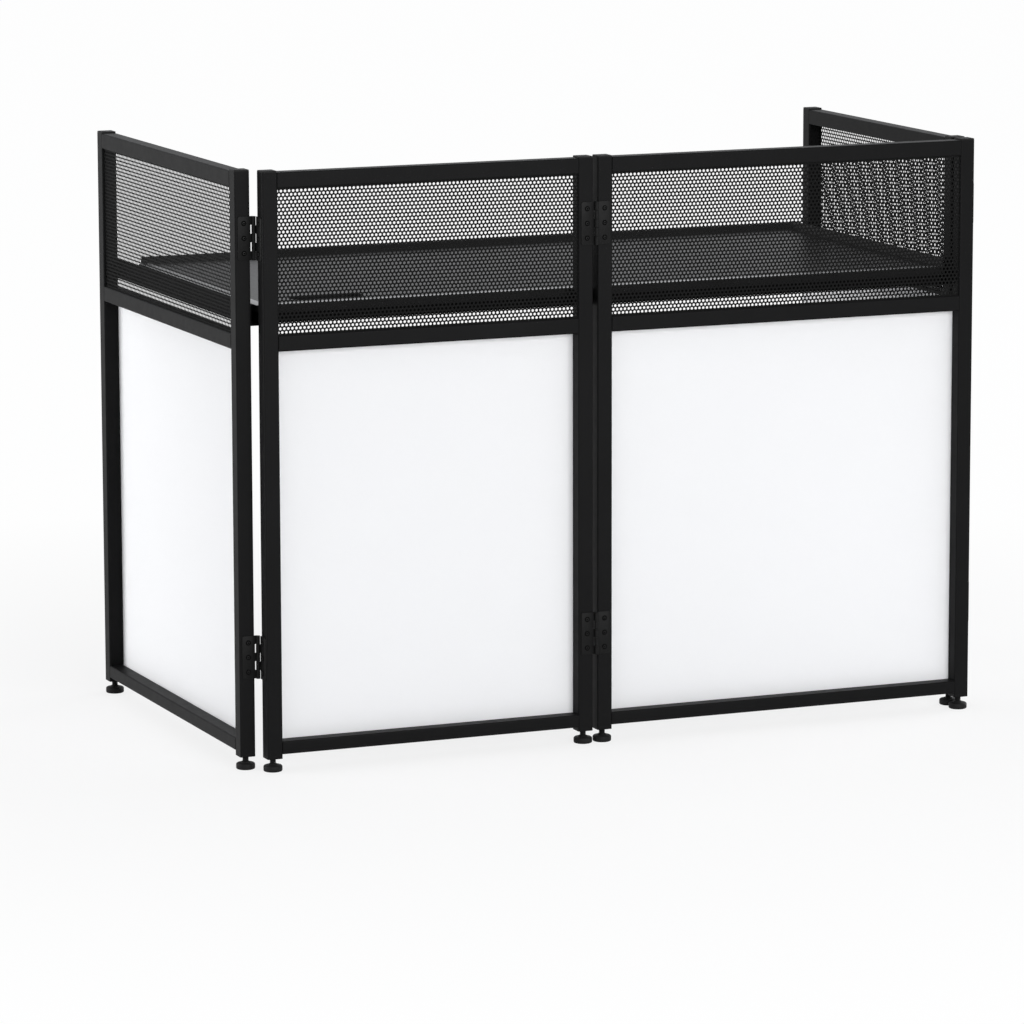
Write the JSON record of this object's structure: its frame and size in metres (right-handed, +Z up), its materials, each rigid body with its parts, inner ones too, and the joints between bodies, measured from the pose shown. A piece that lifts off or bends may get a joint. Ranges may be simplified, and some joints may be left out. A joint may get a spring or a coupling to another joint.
{
  "type": "dj booth",
  "caption": "Folding booth of hinged square-tube frames with perforated upper sheets and white scrims, standing on levelling feet round a lift-out table.",
  "frame": {"origin": "on the floor under the middle of the whole booth, feet and hinges included", "axes": "+X along the front to the audience's right, +Y from the front to the open rear, +Z up"},
  "size_m": [1.527, 0.852, 1.133],
  "materials": {
    "frame": "satin black powder coat",
    "sheet": "satin black powder coat",
    "scrim": "stretched white cloth",
    "cap": "matt black",
    "insert": "black nylon",
    "foot": "matt black",
    "hinge": "satin black",
    "ledge": "satin black",
    "board": "black laminate, semi-gloss",
    "bearer": "black paint, satin",
    "lip": "satin black"
  },
  "bodies": {
    "left": {"left_post_rear": "frame", "left_post_front": "frame", "left_rail_top": "frame", "left_rail_middle": "frame", "left_rail_bottom": "frame", "left_sheet": "sheet", "left_scrim": "scrim", "left_caps": "cap", "left_inserts": "insert", "left_hinge_outer_leaves": "hinge", "left_ledge": "ledge"},
    "front_left": {"front_left_post_outer": "frame", "front_left_post_centre": "frame", "front_left_rail_top": "frame", "front_left_rail_middle": "frame", "front_left_rail_bottom": "frame", "front_left_sheet": "sheet", "front_left_scrim": "scrim", "front_left_caps": "cap", "front_left_inserts": "insert", "left_hinge_inner_leaves": "hinge", "centre_hinge_outer_leaves": "hinge"},
    "front_right": {"front_right_post_centre": "frame", "front_right_post_outer": "frame", "front_right_rail_top": "frame", "front_right_rail_middle": "frame", "front_right_rail_bottom": "frame", "front_right_sheet": "sheet", "front_right_scrim": "scrim", "front_right_caps": "cap", "front_right_inserts": "insert", "centre_hinge_inner_leaves": "hinge", "right_hinge_outer_leaves": "hinge"},
    "right": {"right_post_front": "frame", "right_post_rear": "frame", "right_rail_top": "frame", "right_rail_middle": "frame", "right_rail_bottom": "frame", "right_sheet": "sheet", "right_scrim": "scrim", "right_caps": "cap", "right_inserts": "insert", "right_hinge_inner_leaves": "hinge", "right_ledge": "ledge"},
    "table": {"table_board": "board", "table_bearer_front": "bearer", "table_bearer_rear": "bearer", "table_bearer_left": "bearer", "table_bearer_middle": "bearer", "table_bearer_right": "bearer", "table_lip_rear": "lip", "table_lip_right": "lip"},
    "left_foot_rear": {"left_foot_rear": "foot"},
    "left_foot_front": {"left_foot_front": "foot"},
    "front_left_foot_outer": {"front_left_foot_outer": "foot"},
    "front_left_foot_centre": {"front_left_foot_centre": "foot"},
    "front_right_foot_centre": {"front_right_foot_centre": "foot"},
    "front_right_foot_outer": {"front_right_foot_outer": "foot"},
    "right_foot_front": {"right_foot_front": "foot"},
    "right_foot_rear": {"right_foot_rear": "foot"}
  },
  "joints": [
    {"name": "left_hinge", "type": "hinge", "parent": "front_left", "child": "left", "pos_m": [-0.7255, -0.382, 0.5], "axis": [0, 0, 1], "range_deg": [0, 90]},
    {"name": "centre_hinge", "type": "hinge", "parent": "front_left", "child": "front_right", "pos_m": [-0.0505, -0.422, 0.5], "axis": [0, 0, -1], "range_deg": [0, 180]},
    {"name": "right_hinge", "type": "hinge", "parent": "front_right", "child": "right", "pos_m": [0.7595, -0.382, 0.5], "axis": [0, 0, -1], "range_deg": [0, 90]},
    {"name": "table_lift", "type": "slide", "parent": "front_left", "child": "table", "axis": [0, 0, 1], "range_m": [0, 0.3]},
    {"name": "left_foot_rear_screw", "type": "slide", "parent": "left", "child": "left_foot_rear", "axis": [0, 0, -1], "range_m": [-0.01, 0.01]},
    {"name": "left_foot_front_screw", "type": "slide", "parent": "left", "child": "left_foot_front", "axis": [0, 0, -1], "range_m": [-0.01, 0.01]},
    {"name": "front_left_foot_outer_screw", "type": "slide", "parent": "front_left", "child": "front_left_foot_outer", "axis": [0, 0, -1], "range_m": [-0.01, 0.01]},
    {"name": "front_left_foot_centre_screw", "type": "slide", "parent": "front_left", "child": "front_left_foot_centre", "axis": [0, 0, -1], "range_m": [-0.01, 0.01]},
    {"name": "front_right_foot_centre_screw", "type": "slide", "parent": "front_right", "child": "front_right_foot_centre", "axis": [0, 0, -1], "range_m": [-0.01, 0.01]},
    {"name": "front_right_foot_outer_screw", "type": "slide", "parent": "front_right", "child": "front_right_foot_outer", "axis": [0, 0, -1], "range_m": [-0.01, 0.01]},
    {"name": "right_foot_front_screw", "type": "slide", "parent": "right", "child": "right_foot_front", "axis": [0, 0, -1], "range_m": [-0.01, 0.01]},
    {"name": "right_foot_rear_screw", "type": "slide", "parent": "right", "child": "right_foot_rear", "axis": [0, 0, -1], "range_m": [-0.01, 0.01]}
  ]
}
